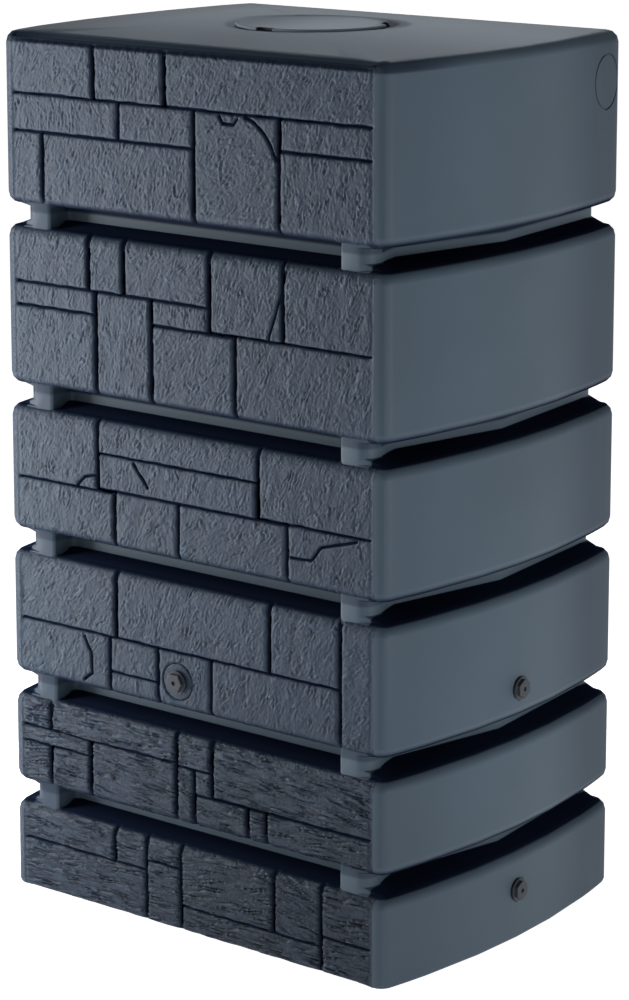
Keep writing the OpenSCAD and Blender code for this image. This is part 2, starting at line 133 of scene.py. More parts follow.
scene = bpy.context.scene
scene.view_settings.view_transform = "Standard"
scene.view_settings.look = "None"
world = bpy.data.worlds.new("soft_sky")
scene.world = world
world.use_nodes = True
sky = world.node_tree
sky.nodes.clear()
coords = sky.nodes.new("ShaderNodeTexCoord")
split = sky.nodes.new("ShaderNodeSeparateXYZ")
ramp = sky.nodes.new("ShaderNodeMapRange")
ramp.inputs["From Min"].default_value = 0.0
ramp.inputs["From Max"].default_value = GLOW_TOP
ramp.inputs["To Min"].default_value = HORIZON
ramp.inputs["To Max"].default_value = ZENITH
background = sky.nodes.new("ShaderNodeBackground")
sky_out = sky.nodes.new("ShaderNodeOutputWorld")
sky.links.new(coords.outputs["Generated"], split.inputs[0])
sky.links.new(split.outputs["Z"], ramp.inputs["Value"])
sky.links.new(ramp.outputs[0], background.inputs["Strength"])
sky.links.new(background.outputs[0], sky_out.inputs["Surface"])


def soft_lamp(name, place, aim, width, height, power, tint=(1, 1, 1)):
    """An upright area lamp at a place, facing the point that it aims at."""
    data = bpy.data.lights.new(name, "AREA")
    data.shape = "RECTANGLE"
    data.size = width
    data.size_y = height
    data.energy = power
    data.color = tint
    lamp = bpy.data.objects.new(name, data)
    scene.collection.objects.link(lamp)
    lamp.location = place
    lamp.rotation_euler = (Vector(aim) - Vector(place)).to_track_quat("-Z", "Y").to_euler()
    return lamp


BLUISH = (0.8, 0.9, 1)
soft_lamp("key_strip", (-1.05, -0.75, 0.66), (0, -0.26, 0.66), 0.3, 1.7, 32)
soft_lamp("side_softbox", (2.8, -0.2, 0.25), (0.3, 0, 0.45), 1.2, 0.9, 28)
soft_lamp("top_softbox", (-1.2, 1.8, 2.6), (0, 0, 1.2), 1.4, 1.4, 20, BLUISH)

floor_mesh = bpy.data.meshes.new("studio_floor")
bm = bmesh.new()
bmesh.ops.create_grid(bm, x_segments=1, y_segments=1, size=FLOOR_SIZE / 2)
bm.to_mesh(floor_mesh)
bm.free()
floor = bpy.data.objects.new("studio_floor", floor_mesh)
scene.collection.objects.link(floor)
print(f"sky {HORIZON} to {ZENITH}, {len(bpy.data.lights)} lamps")

# %% [markdown]
# ## Sums on sockets
#
# A finish is mostly arithmetic: so much dark in the hollows, so much light on the ridges.
# Wiring Math nodes by hand hides that, so one small class wraps a socket and lets Python's own
# plus, minus and times add the nodes.

# %% Define a value on a socket


class Value:
    """A number that a shader works out for each point of a surface."""

    def __init__(self, tree, socket):
        self.tree = tree
        self.socket = socket

    def join(self, operation, first, second=0):
        node = self.tree.nodes.new("ShaderNodeMath")
        node.operation = operation
        for place, item in zip(node.inputs, (first, second)):
            if isinstance(item, Value):
                self.tree.links.new(item.socket, place)
            else:
                place.default_value = item
        return Value(self.tree, node.outputs[0])

    def __add__(self, other):
        return self.join("ADD", self, other)

    def __radd__(self, other):
        return self.join("ADD", other, self)

    def __sub__(self, other):
        return self.join("SUBTRACT", self, other)

    def __rsub__(self, other):
        return self.join("SUBTRACT", other, self)

    def __mul__(self, other):
        return self.join("MULTIPLY", self, other)

    def __rmul__(self, other):
        return self.join("MULTIPLY", other, self)

    def __gt__(self, other):
        return self.join("GREATER_THAN", self, other)

    def __abs__(self):
        return self.join("ABSOLUTE", self)

    def root(self):
        return self.join("SQRT", self)


print("values ready")

# %% [markdown]
# ## A finish under construction
#
# A second class holds a material and makes any other node from its type, its settings and its
# inputs. On top of that one method stand the few that this tank's finishes need: a place, a
# noise, a smooth change between two places, a mix of colours, and a matt shader that covers the
# first one where no light gets in.

# %% Define a finish


class Finish:
    """A material under construction, with the shader that its values feed."""

    def __init__(self, name, roughness, metallic=0.0, shine=0.5):
        self.material = bpy.data.materials.new(name)
        self.material.use_nodes = True
        self.tree = self.material.node_tree
        self.shader = self.tree.nodes["Principled BSDF"]
        self.shader.inputs["Roughness"].default_value = roughness
        self.shader.inputs["Specular IOR Level"].default_value = shine
        self.shader.inputs["Metallic"].default_value = metallic

    def node(self, kind, settings=None, inputs=None, output=0):
        """Adds a node. Its settings are set before its inputs, which are values or links."""
        made = self.tree.nodes.new("ShaderNode" + kind)
        for key, setting in (settings or {}).items():
            setattr(made, key, setting)
        for key, item in (inputs or {}).items():
            if isinstance(item, Value):
                self.tree.links.new(item.socket, made.inputs[key])
            else:
                made.inputs[key].default_value = item
        return Value(self.tree, made.outputs[output])

    def feed(self, socket, value):
        self.tree.links.new(value.socket, self.shader.inputs[socket])

    def place(self):
        return self.node("TexCoord", output="Object")

    def axis(self, letter):
        return self.node("SeparateXYZ", inputs={0: self.place()}, output=letter)

    def attribute(self, name):
        return self.node("Attribute", {"attribute_name": name}, output="Fac")

    def noise(self, per_metre, detail, stretch=(1, 1, 1)):
        """Smooth noise from 0 to 1 with so many lumps to the metre."""
        spot = self.node("Mapping", inputs={"Vector": self.place(), "Scale": stretch})
        return self.node(
            "TexNoise", inputs={"Vector": spot, "Scale": per_metre, "Detail": detail}, output="Fac"
        )

    def ease(self, value, start, end, low=0.0, high=1.0):
        """Goes smoothly from low to high while the value goes from start to end."""
        sockets = {
            "Value": value, "From Min": start, "From Max": end, "To Min": low, "To Max": high
        }
        return self.node("MapRange", {"interpolation_type": "SMOOTHSTEP"}, sockets)

    def span(self, value, start, full, fade, end):
        """Rises from 0 to 1 between start and full, and falls back to 0 between fade and end."""
        return self.ease(value, start, full) * self.ease(value, end, fade)

    def mix(self, share, first, second):
        sockets = {0: share, 6: first, 7: second}
        return self.node("Mix", {"data_type": "RGBA"}, sockets, output=2)

    def cover(self, share, colour):
        """Lays a second, wholly matt shader over the first one, by a share from 0 to 1."""
        matt = self.tree.nodes.new("ShaderNodeBsdfPrincipled")
        matt.inputs["Base Color"].default_value = colour
        matt.inputs["Roughness"].default_value = 1.0
        matt.inputs["Specular IOR Level"].default_value = 0.0
        blend = self.tree.nodes.new("ShaderNodeMixShader")
        self.tree.links.new(share.socket, blend.inputs["Fac"])
        self.tree.links.new(self.shader.outputs[0], blend.inputs[1])
        self.tree.links.new(matt.outputs[0], blend.inputs[2])
        self.tree.links.new(blend.outputs[0], self.tree.nodes["Material Output"].inputs["Surface"])

    def bump(self, height, strength, depth):
        """Feeds the shader's normal with a height from 0 to 1 that stands for so many metres."""
        sockets = {"Height": height, "Strength": strength, "Distance": depth}
        self.feed("Normal", self.node("Bump", inputs=sockets))


print("finishes ready")

# %% [markdown]
# ## The floor's finish
#
# The floor is a pale matt sheet. Its small glow stands in for the lamps that light a studio
# floor from out of the picture, and takes the floor nearly to white without more light on the
# tank.

# %% Finish the floor
FLOOR_GLOW = 0.95

floor_finish = Finish("pale_floor", 0.9)
floor_finish.shader.inputs["Base Color"].default_value = (0.85, 0.85, 0.85, 1)
floor_finish.shader.inputs["Emission Color"].default_value = (1, 1, 1, 1)
floor_finish.shader.inputs["Emission Strength"].default_value = FLOOR_GLOW
floor_mesh.materials.append(floor_finish.material)
print("floor glow", FLOOR_GLOW)

# %% [markdown]
# ## Moulded plastic
#
# The tank is moulded in polyethylene, which sets with a satin, very slightly pebbled skin. Its
# colour is an anthracite with some blue in it. Hardly any light reaches the ledge at the foot of
# each groove and the strip under its roof, so both are drawn down to nearly black. The shader
# finds them by their height above the nearest groove, and leaves the posts out.
#
# The front of the top, its shoulder, the dish round the lid and the two ends of each bulged side
# are turned away from the lamps. They are drawn down a little as well, by a second shader that
# has no gloss, because a dark colour alone would still shine.

# %% Name the colours and where the shadows lie


def shade(red, green, blue):
    """A screen colour from 0 to 255, as the linear colour that a shader takes."""
    shares = [value / 255 for value in (red, green, blue)]
    linear = [c / 12.92 if c <= 0.04045 else ((c + 0.055) / 1.055) ** 2.4 for c in shares]
    return (*linear, 1.0)


def mm(*lengths):
    """Lengths given in millimetres, as metres."""
    return [length * MM for length in lengths]


PLASTIC = shade(66, 80, 92)
STONE = shade(39, 52, 67)
PLASTIC_DARK = shade(12, 19, 29)
# NIGHT is the painted shade of the grooves, joints and lid, and the colour of the thin dark lines
# in the lowest stones
NIGHT = shade(19, 26, 42)
# CREST is the painted highlight on the stones' crests
CREST = shade(72, 89, 108)
SHINE = 0.16
STONE_SHINE = 0.15
GROOVE_MIDS = mm(136, 292, 495, 698, 944)

# Heights above a groove's middle where its shadows start, are full, fade and end
LEDGE_SHADOW = mm(-18.5, -15.5, -7.5, -6.5)
ROOF_SHADOW = mm(2.5, 7, 16, 27)
# Where the posts stand, from the middle of the tank
POST_ACROSS = mm(241, 244, 290, 293)
POST_DEPTH = mm(222, 226)
# Heights of the shoulder's shadow and of the top
SHOULDER_SHADOW = mm(1173, 1177, 1186, 1190)
TOP_ABOVE = mm(1188, 1190)
DISH_ABOVE = mm(1190, 1191)
RING_ABOVE = mm(1186, 1188)
SIDE_BELOW = mm(1186, 1180)
# Radii, from the lid's middle, of the dish and of the ring next to the lid
DISH_EDGE = mm(138, 124)
RING_EDGE = mm(122, 110)
# Places along Y and X between which a shadow grows
DISH_ALONG = mm(-30, 70)
SHOULDER_ALONG = mm(-60, -230)
TOP_ALONG = mm(150, -230)
TOP_ACROSS = mm(-300, 50)
BACK_END = mm(40, 240)
FRONT_END = mm(-60, -240)
SIDE_ACROSS = mm(306, 316)
# The left end copies the stones' colour, and its corner their grain
LEFT_END = mm(-200, -290)
CORNER_ACROSS = mm(-298, -306)
CORNER_ALONG = mm(-215, -235)
print(f"{len(GROOVE_MIDS)} grooves from {GROOVE_MIDS[0]} to {GROOVE_MIDS[-1]} m")

# %% [markdown]
# Each group of shadows is one sum of masks from 0 to 1. The groups are added up, and the sum is
# the share by which the matt dark shader covers the plastic.

# %% Mix the plastics


def moulded(name, light, dark, roughness=0.45, shine=SHINE):
    """A satin plastic with the slightest cloud in its colour."""
    finish = Finish(name, roughness, shine=shine)
    cloud = finish.ease(finish.noise(4, 3), 0.35, 0.65)
    finish.colour = finish.mix(cloud * 0.12, light, dark)
    return finish


def pebble(finish):
    """The faint grain of a smooth mould."""
    finish.bump(finish.noise(900, 2), 0.12, 0.2 * MM)


def groove_gloom(finish, across, depth):
    """Shadow on the ledge and under the roof of each groove, but hardly on the posts."""
    z = finish.axis("Z")
    height = z - GROOVE_MIDS[0]
    for lower, upper in zip(GROOVE_MIDS, GROOVE_MIDS[1:]):
        height = height - (z > (lower + upper) / 2) * (upper - lower)
    post = finish.span(across, *POST_ACROSS) * finish.ease(depth, *POST_DEPTH)
    ledge = finish.span(height, *LEDGE_SHADOW) * (1 - post)
    return ledge + finish.span(height, *ROOF_SHADOW) * (0.9 - post * 0.45)


def top_gloom(finish, across, depth):
    """Shadow in the dish and next to the lid, and towards the front of the top and shoulder."""
    z, along = finish.axis("Z"), finish.axis("Y")
    radius = (across * across + depth * depth).root()
    dish = finish.ease(radius, *DISH_EDGE) * finish.ease(z, *DISH_ABOVE)
    dish = dish * finish.ease(along, *DISH_ALONG)
    ring = finish.ease(radius, *RING_EDGE) * finish.ease(z, *RING_ABOVE)
    front = finish.ease(z, *TOP_ABOVE) * finish.ease(along, *TOP_ALONG)
    front = front * finish.ease(finish.axis("X"), *TOP_ACROSS, 0.05, 0.4)
    shoulder = finish.span(z, *SHOULDER_SHADOW) * finish.ease(along, *SHOULDER_ALONG)
    return dish * 0.4 + front + ring * 0.3 + shoulder * 0.55


def side_gloom(finish, across):
    """Shadow towards the back and front ends of the bulged sides."""
    side = finish.ease(across, *SIDE_ACROSS) * finish.ease(finish.axis("Z"), *SIDE_BELOW)
    along = finish.axis("Y")
    return (finish.ease(along, *BACK_END) * 0.4 + finish.ease(along, *FRONT_END) * 0.15) * side


def gloom(finish):
    """How little light reaches a point, from 0 in the open to 1 on a groove's ledge."""
    across = abs(finish.axis("X"))
    depth = abs(finish.axis("Y") - MID_Y)
    shadow = side_gloom(finish, across) + top_gloom(finish, across, depth)
    return shadow + groove_gloom(finish, across, depth)


skin = moulded("moulded_plastic", PLASTIC, PLASTIC_DARK)
left_end = skin.ease(skin.axis("X"), *LEFT_END)
skin.feed("Base Color", skin.mix(left_end, skin.colour, STONE))
corner = skin.ease(skin.axis("X"), *CORNER_ACROSS) * skin.ease(skin.axis("Y"), *CORNER_ALONG)
skin.bump(skin.noise(900, 2) * 0.03 + corner * skin.noise(160, 4), 0.9, 4 * MM)
skin.cover(gloom(skin), NIGHT)
print("plastic mixed")

# %% [markdown]
# ## The moulded body
#
# The body's shape is exact already. Its mesh comes from the CAD as loose triangles, so a copy is
# merged and its flat parts are made whole again. The stones on its front are cut away at the
# front wall, because finer ones take their place. Weighted normals then keep the broad faces
# flat and let only the narrow rounded lips turn the light.

# %% Dress the body
WALL_RECESS = 5 * MM
STONE_HALF = 304 * MM
MERGE_WITHIN = 0.002 * MM
FLAT_WITHIN = math.radians(0.5)
SMOOTH_BELOW = math.radians(38)
GROOVE_H = 28 * MM
LIP = 16 * MM
TOP_EDGE = 1190 * MM


def add_piece(name, mesh, body, slot, *finishes):
    """Links a finished mesh as a piece that rides on a body."""
    piece = bpy.data.objects.new(name, mesh)
    scene.collection.objects.link(piece)
    for finish in finishes:
        mesh.materials.append(finish.material)
    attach(piece, body)
    return piece


def merged(node):
    """A CAD node's surface as one closed skin of whole faces."""
    skin_mesh = bmesh.new()
    skin_mesh.from_mesh(nodes[node].data)
    bmesh.ops.remove_doubles(skin_mesh, verts=skin_mesh.verts, dist=MERGE_WITHIN)
    bmesh.ops.dissolve_limit(
        skin_mesh, angle_limit=FLAT_WITHIN, verts=skin_mesh.verts, edges=skin_mesh.edges
    )
    return skin_mesh


def smooth(bm, limit=SMOOTH_BELOW):
    """Shades faces smooth and keeps the edges that turn by more than the limit sharp."""
    for face in bm.faces:
        face.smooth = True
    for edge in bm.edges:
        edge.smooth = len(edge.link_faces) == 2 and edge.calc_face_angle(0) < limit


def weigh_normals(piece):
    modifier = piece.modifiers.new("weighted", "WEIGHTED_NORMAL")
    modifier.keep_sharp = True


wall_y = MID_Y - HALF_D + WALL_RECESS


def in_stone_front(face):
    middle = face.calc_center_median()
    return middle.y < wall_y - 0.01 * MM and abs(middle.x) < STONE_HALF


bm = merged("tank_body")
ALONG_X, ALONG_Y = (1, 0, 0), (0, 1, 0)
cuts = [((-STONE_HALF, 0, 0), ALONG_X), ((STONE_HALF, 0, 0), ALONG_X), ((0, wall_y, 0), ALONG_Y)]
for spot, across in cuts:
    everything = bm.verts[:] + bm.edges[:] + bm.faces[:]
    bmesh.ops.bisect_plane(bm, geom=everything, plane_co=spot, plane_no=across)
stone_front = [face for face in bm.faces if in_stone_front(face)]
bmesh.ops.delete(bm, geom=stone_front, context="FACES")
smooth(bm)
body_mesh = bpy.data.meshes.new("moulded_body")
bm.to_mesh(body_mesh)
bm.free()
body = add_piece("moulded_body", body_mesh, "tank", "body_plastic", skin)
weigh_normals(body)
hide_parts("tank_body")
print(f"body: {len(body_mesh.polygons)} faces")

# %% [markdown]
# ## Where the stones lie
#
# The mould's front copies a dry wall: each of the six panels is split by upright and level
# joints into stones of very different sizes. A stone is written as its left, right, bottom and
# top, in hundredths of its panel. A joint line that leans or bends, and the chips and cracks,
# are short runs of points across the front.

# %% Lay out the stones
PATTERN_HALF = 306 * MM
LIP_MARGIN = 4.5 * MM
FOOT = 6 * MM
TOP_PANEL = 1180 * MM

STONES = [
    [
        [0, 28, 59, 100], [28, 37, 59, 100], [0, 37, 0, 59], [37, 47, 72, 100], [37, 47, 0, 72],
        [47, 73, 27, 100], [73, 86, 27, 100], [47, 86, 0, 27], [86, 100, 40, 100], [86, 100, 0, 40],
    ],
    [
        [0, 9, 67, 100], [9, 46, 66, 100], [46, 56, 64, 100], [56, 100, 36, 100], [0, 21, 48, 67],
        [0, 9, 0, 48], [9, 21, 0, 48], [21, 46, 0, 66], [46, 51, 0, 64], [51, 56, 35, 64],
        [51, 66, 0, 35], [66, 71, 0, 35], [71, 100, 0, 36],
    ],
    [
        [0, 29, 46, 100], [29, 72, 46, 100], [72, 91, 46, 100], [91, 100, 0, 100], [0, 27, 0, 46],
        [27, 41, 17, 46], [27, 41, 0, 17], [41, 56, 0, 46], [56, 91, 0, 46],
    ],
    [
        [0, 24, 43, 100], [0, 29, 0, 43], [24, 69, 74, 100], [24, 69, 45, 74], [69, 100, 46, 100],
        [29, 47, 0, 45], [47, 77, 0, 45], [77, 100, 0, 46],
    ],
    [
        [0, 22, 66, 100], [22, 32, 66, 100], [32, 56, 66, 100], [56, 76, 51, 100],
        [76, 100, 51, 100], [0, 24, 51, 66], [0, 24, 0, 51], [24, 40, 0, 66], [40, 56, 50, 66],
        [40, 63, 0, 50], [63, 100, 0, 51],
    ],
    [
        [0, 24, 67, 100], [24, 44, 67, 100], [44, 100, 67, 100], [0, 31, 44, 67],
        [31, 52, 44, 67], [52, 75, 0, 67], [0, 9, 0, 44], [9, 52, 0, 44], [75, 100, 48, 67],
        [75, 100, 0, 48],
    ],
]
CRACKS = {
    2: [[(-186, 380), (-174, 360), (-172, 331), (-187, 319)]],
    3: [
        [(-196, 587), (-182, 601), (-160, 606)], [(-94, 631), (-70, 602)],
        [(172, 548), (205, 549), (221, 569), (278, 585)],
    ],
    4: [[(165, 915), (154, 880), (136, 826)]],
    5: [
        [(98, 1105), (112, 1101), (128, 1089), (140, 1073), (149, 1055)],
        [(56, 1104), (62, 1095), (80, 1094), (86, 1102)],
    ],
}


def panel_heights(band):
    """Bottom and top of the panel whose hundredths the stones are written in."""
    bottom = FOOT if band == 0 else GROOVE_MIDS[band - 1] + GROOVE_H / 2 + LIP_MARGIN
    top = TOP_PANEL if band == 5 else GROOVE_MIDS[band] - GROOVE_H / 2 - LIP_MARGIN
    return bottom, top


print(f"{sum(len(stones) for stones in STONES)} stones in {len(STONES)} panels")

# %% [markdown]
# ## Cleft stone
#
# Split slate breaks in short, sharp ridges that all run one way across a stone. The two lowest
# panels copy another stone, which splits in thin level layers with ragged edges. Both are made
# from the same smooth random hills: stretched and folded they give ridges, and cut into steps
# they give flakes. The numbers that divide a place are the length and height of one hill in
# millimetres. Each stone has its own turn, tilt and seed.

# %% Define the relief
NOISE_TABLE = 61


def hills(u, v, seed):
    """Smooth random hills about one unit across, from -1 to 1."""
    angles = np.random.default_rng(seed).uniform(0, 2 * math.pi, (NOISE_TABLE, NOISE_TABLE))
    i, j = np.floor(u).astype(int), np.floor(v).astype(int)
    a, b = u - i, v - j

    def pull(di, dj):
        angle = angles[(i + di) % NOISE_TABLE, (j + dj) % NOISE_TABLE]
        return np.cos(angle) * (a - di) + np.sin(angle) * (b - dj)

    ease_a = a * a * a * (a * (a * 6 - 15) + 10)
    ease_b = b * b * b * (b * (b * 6 - 15) + 10)
    low_row = pull(0, 0) * (1 - ease_a) + pull(1, 0) * ease_a
    high_row = pull(0, 1) * (1 - ease_a) + pull(1, 1) * ease_a
    return 1.5 * (low_row * (1 - ease_b) + high_row * ease_b)


def eased(value, start, end):
    t = np.clip((value - start) / (end - start), 0, 1)
    return t * t * (3 - 2 * t)


def flakes(u, v, seed, thickness, sway=1):
    """A staircase of thin flakes with ragged edges, seen as the part above the last whole step."""
    bend = 1.4 * hills(u / 34, v / 12, seed) + 0.6 * hills(u / 12, v / 5, seed + 1)
    rise = v / thickness + sway * bend
    step = rise - np.floor(rise)
    return eased(step, 0, 0.78) - eased(step, 0.83, 1) - 0.5


def slate(x, z, lean, seed):
    """Relief of split slate, mostly from -0.6 to 0.6, whose flakes run at the angle lean."""
    u = x * math.cos(lean) + z * math.sin(lean)
    v = z * math.cos(lean) - x * math.sin(lean)
    strength = np.clip(0.4 + 1.3 * hills(u / 26, v / 13, seed + 2), 0, 1)
    crests = 1 - 3.2 * np.abs(hills(u / 11, v / 3.2, seed + 3))
    patch = 0.5 + 0.8 * hills(x / 26, z / 26, seed + 4)
    coarse = 0.3 * hills(u / 40, v / 17, seed + 5) + 0.8 * flakes(u, v, seed, 9) * strength
    return coarse + 0.26 * crests * patch + 0.2 * hills(u / 5, v / 2.8, seed + 6)


def layers(x, z, lean, seed):
    """Relief of stone that splits in thin level layers, mostly from -0.6 to 0.6."""
    z = z - x * math.tan(lean)
    strength = np.clip(0.6 + 1.1 * hills(x / 50, z / 10, seed + 2), 0, 1)
    coarse = 0.3 * hills(x / 40, z / 20, seed + 4)
    coarse += 1.1 * flakes(x / 1.8, z, seed, 5.5, 0.65) * strength
    return coarse + 0.25 * hills(x / 20, z / 2.8, seed + 3) + 0.12 * hills(x / 5, z / 2.8, seed + 5)


print(f"hills from a table of {NOISE_TABLE} by {NOISE_TABLE} slopes")

# %% [markdown]
# ## Stones and joints
#
# A panel's height is worked out for all its points at once. Inside a stone it is the stone's own
# level and tilt with the cleft relief on top. Towards an edge that has a neighbour the height is
# eased down into a narrow joint, and the edge itself is a little worn. An edge on the panel's rim
# has no joint, so it counts as infinitely far away.

# %% Work out a panel's height
FACE = 5.0
RELIEF = 1.7
LAYER_DEPTH = 1.5
LAYERED_PANELS = 2
JOINT_FLOOR = 0
SLATE_LEAN = math.radians(62)
LEAN_SPREAD = 0.28
JOINT_ASIDE = (2.5, 4.1)
JOINT_ALONG = (0.9, 2.4)
CRACK_EDGE = (0.9, 2.8)
WEAR_EDGE = (1.5, 6)


def near_line(x, z, points):
    """Distance of every x and z from a run of points."""
    best = np.full_like(x, 1e3)
    for (x0, z0), (x1, z1) in zip(points, points[1:]):
        run, rise = x1 - x0, z1 - z0
        t = np.clip(((x - x0) * run + (z - z0) * rise) / (run * run + rise * rise), 0, 1)
        best = np.minimum(best, np.hypot(x - x0 - t * run, z - z0 - t * rise))
    return best


def to_edges(values, start, end, rims):
    """Distance of each value to the nearer of two edges, where an edge on a rim doesn't count."""
    from_start = np.inf if rims[0] else values - start
    from_end = np.inf if rims[1] else end - values
    return np.minimum(from_start, from_end) * np.ones_like(values)


def stone_relief(band, x, z):
    """Height of the face, depth in a joint, and the cleft alone, for x and z in mm."""
    rng = np.random.default_rng(40 + band)
    bottom, top = (value / MM for value in panel_heights(band))
    half = PATTERN_HALF / MM
    wobble_x = x + 0.9 * hills(x / 14, z / 14, 7 + band)
    wobble_z = z + 0.7 * hills(x / 22, z / 12, 19 + band)
    height = np.full_like(x, JOINT_FLOOR)
    hollow = np.ones_like(x)
    cleft = np.zeros_like(x)
    for left, right_, foot, head in STONES[band]:
        x0, x1 = (-half + 2 * half * share / 100 for share in (left, right_))
        z0, z1 = (bottom + (top - bottom) * share / 100 for share in (foot, head))
        seed = int(rng.integers(1000))
        lean = rng.normal(0, LEAN_SPREAD)
        tilt_x, tilt_z, level, gape = rng.uniform(-1, 1, 4)
        aside = to_edges(wobble_x, x0, x1, (left == 0, right_ == 100))
        along = to_edges(wobble_z, z0, z1, (foot == 0, head == 100))
        inside = (aside > 0) & (along > 0)
        aside, along, px, pz = aside[inside], along[inside], x[inside], z[inside]
        if band < LAYERED_PANELS:
            split = LAYER_DEPTH * layers(px, pz, 0.3 * lean, seed)
        else:
            split = slate(px, pz, SLATE_LEAN + lean, seed)
        cleft[inside] = split
        face = FACE + RELIEF * split + 0.5 * level
        face += 0.8 * tilt_x * (px - (x0 + x1) / 2) / (x1 - x0)
        face += 0.6 * tilt_z * (pz - (z0 + z1) / 2) / (z1 - z0)
        open_ = eased(aside - 0.9 * gape, *JOINT_ASIDE) * eased(along, *JOINT_ALONG)
        worn = 1 - eased(np.minimum(aside - 2, along), *WEAR_EDGE)
        height[inside] = JOINT_FLOOR + (face - JOINT_FLOOR) * open_ - 0.9 * worn * open_
        hollow[inside] = 1 - open_
    for points in CRACKS.get(band, []):
        cut = 1 - eased(near_line(wobble_x, wobble_z, points), *CRACK_EDGE)
        height -= cut * (height - JOINT_FLOOR) * 0.8
        hollow = np.maximum(hollow, cut * 0.9)
    return height, hollow, cleft


print(f"joints {JOINT_ASIDE[1]} mm from a stone's edge to its face")

# %% [markdown]
# ## The stone panels
#
# Each panel starts as a flat grid, fine enough to hold the ridges. Every point is then pushed
# out of the wall by the height that the relief gives there. The panel's rim sinks into the
# rounded lips and corners of the body, and a back closes it, so each panel is one solid slab
# set into the front wall. The tap port keeps a round flat pad in its panel.

# %% Raise the panels
GRID = 1.4 * MM
RIM = 1.0 * MM
PANEL_FOOT = 1.5 * MM
PANEL_HEAD = 1183 * MM
WALL_END = 272
OVERLAY = 0.1
PORT_PANEL = 2
PAD_R = 24
PAD_FACE = 4.9
PORT_X = -20
PORT_Z = 347
BACK_DEPTH = 3 * MM
PANEL_SMOOTH = math.radians(75)
FOOT_FADE = (1, 4)
LIP_FADE = (0.6, 3.5)
SHOULDER_FADE = (10, 13.5)
SIDE_FADE = (297, 302.5)


def flat_grid(name, low_z, high_z):
    """A fine flat grid as wide as the stone front, with its points and their x and z in mm."""
    mesh = bpy.data.meshes.new(name)
    grid = bmesh.new()
    columns = round(2 * STONE_HALF / GRID)
    rows = round((high_z - low_z) / GRID)
    bmesh.ops.create_grid(grid, x_segments=columns, y_segments=rows, size=1)
    grid.to_mesh(mesh)
    grid.free()
    points = np.empty(len(mesh.vertices) * 3, np.float32)
    mesh.vertices.foreach_get("co", points)
    points = points.reshape(-1, 3).astype(float)
    x = points[:, 0] * STONE_HALF / MM
    z = ((low_z + high_z) / 2 + points[:, 1] * (high_z - low_z) / 2) / MM
    return mesh, points, x, z


def lip_sink(distance, radius):
    """How far a quarter round lies back, at a distance from the edge where it ends."""
    return radius - np.sqrt(np.maximum(radius**2 - np.maximum(radius - distance, 0) ** 2, 0))


def panel_fade(band, x, z, below, above):
    """Goes from 1 on the panel to 0 at its ragged rim."""
    ragged = 1.2 * hills(x / 9, z / 9, 71 + band)
    foot = eased(below, *FOOT_FADE) if band == 0 else eased(below + 0.6 * ragged, *LIP_FADE)
    if band == 5:
        head = eased(above + ragged, *SHOULDER_FADE)
    else:
        head = eased(above + 0.6 * ragged, *LIP_FADE)
    return foot * head * (1 - eased(np.abs(x) + 0.7 * ragged, *SIDE_FADE))


def port_pad(height, hollow, x, z):
    """Lays the tap port's round pad into a panel, with a thin groove round it."""
    port = np.hypot(x - PORT_X, z - PORT_Z)
    pad = 1 - eased(port, PAD_R - 1.5, PAD_R)
    height = height * (1 - pad) + PAD_FACE * pad
    rim = eased(port, PAD_R - 0.5, PAD_R + 0.5) * (1 - eased(port, PAD_R + 1, PAD_R + 3))
    return height - 2.5 * rim, np.maximum(hollow * (1 - pad), 0.5 * rim)


def close_back(mesh):
    """Extrudes a panel's rim into the wall and closes its back."""
    slab = bmesh.new()
    slab.from_mesh(mesh)
    rim_edges = [edge for edge in slab.edges if edge.is_boundary]
    made = bmesh.ops.extrude_edge_only(slab, edges=rim_edges)["geom"]
    for vert in (item for item in made if isinstance(item, bmesh.types.BMVert)):
        vert.co.y = max(vert.co.y, wall_y) + BACK_DEPTH
    back = [item for item in made if isinstance(item, bmesh.types.BMEdge) and item.is_boundary]
    bmesh.ops.holes_fill(slab, edges=back, sides=0)
    bmesh.ops.recalc_face_normals(slab, faces=slab.faces)
    smooth(slab, PANEL_SMOOTH)
    slab.to_mesh(mesh)
    slab.free()


def raise_panel(band):
    """One panel of stones as a mesh, with its joints in hollow and its relief in cleft."""
    low_z = PANEL_FOOT if band == 0 else GROOVE_MIDS[band - 1] + GROOVE_H / 2 + RIM
    high_z = PANEL_HEAD if band == 5 else GROOVE_MIDS[band] - GROOVE_H / 2 - RIM
    mesh, points, x, z = flat_grid(f"stone_panel_{band + 1}", low_z, high_z)
    height, hollow, cleft = stone_relief(band, x, z)
    if band == PORT_PANEL:
        height, hollow = port_pad(height, hollow, x, z)
    below = z - (0 if band == 0 else GROOVE_MIDS[band - 1] + GROOVE_H / 2) / MM
    above = (TOP_EDGE if band == 5 else GROOVE_MIDS[band] - GROOVE_H / 2) / MM - z
    sink = lip_sink(below, (FOOT if band == 0 else LIP) / MM)
    sink += lip_sink(above, LIP / MM)
    fade = panel_fade(band, x, z, below, above)
    recess, half = WALL_RECESS / MM, STONE_HALF / MM
    bare = recess * np.clip((half - np.abs(x)) / (half - WALL_END), 0, 1)
    out = sink + fade * (recess - height) + (1 - fade) * (bare - OVERLAY)
    points[:, 0] = x * MM
    points[:, 1] = wall_y - WALL_RECESS + out * MM
    points[:, 2] = z * MM
    mesh.vertices.foreach_set("co", points.astype(np.float32).ravel())
    for name, values in (("hollow", hollow * fade), ("cleft", cleft * fade)):
        attribute = mesh.attributes.new(name, "FLOAT", "POINT")
        attribute.data.foreach_set("value", values.astype(np.float32))
    close_back(mesh)
    return mesh


panel_meshes = [raise_panel(band) for band in range(len(STONES))]
for panel_mesh in panel_meshes:
    print(f"{panel_mesh.name}: {len(panel_mesh.polygons)} faces")
